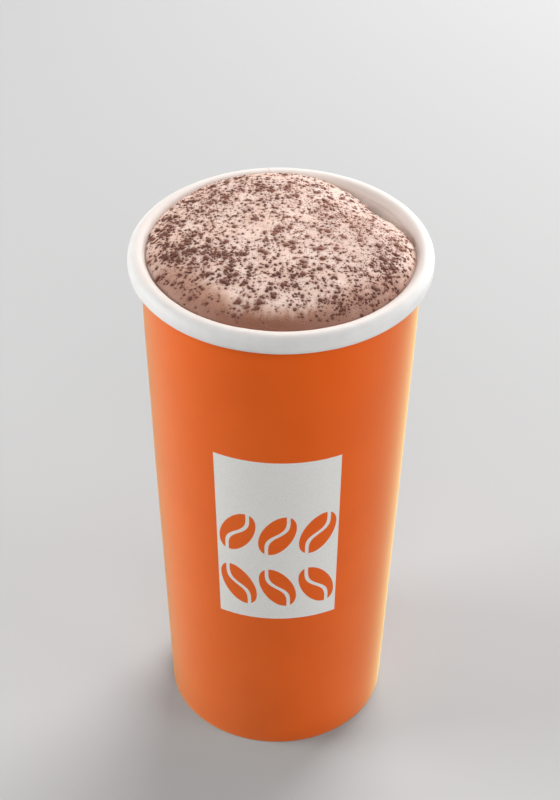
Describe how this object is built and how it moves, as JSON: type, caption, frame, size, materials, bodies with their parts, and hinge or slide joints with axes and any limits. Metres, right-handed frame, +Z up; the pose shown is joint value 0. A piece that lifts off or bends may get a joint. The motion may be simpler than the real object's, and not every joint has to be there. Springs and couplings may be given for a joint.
{
  "type": "mochaccino in a paper cup",
  "caption": "Tall tapered paper takeaway cup with a thick rolled lip, filled with coffee up to an uneven dome of milk foam that is dusted with cocoa.",
  "frame": {"origin": "centre of the cup's foot, on the surface it stands on", "axes": "+Z up the cup's axis, -Y towards the printed front, +Y towards the lap seam, +X to the right as seen from the front"},
  "size_m": [0.09, 0.09, 0.1798],
  "materials": {
    "orange_paper": "satin",
    "white_paper": "matte",
    "milk_foam": "matte",
    "cocoa": "matte"
  },
  "bodies": {
    "root": {"cup_wall": "orange_paper", "cup_base": "white_paper", "drink": "milk_foam"}
  },
  "joints": []
}
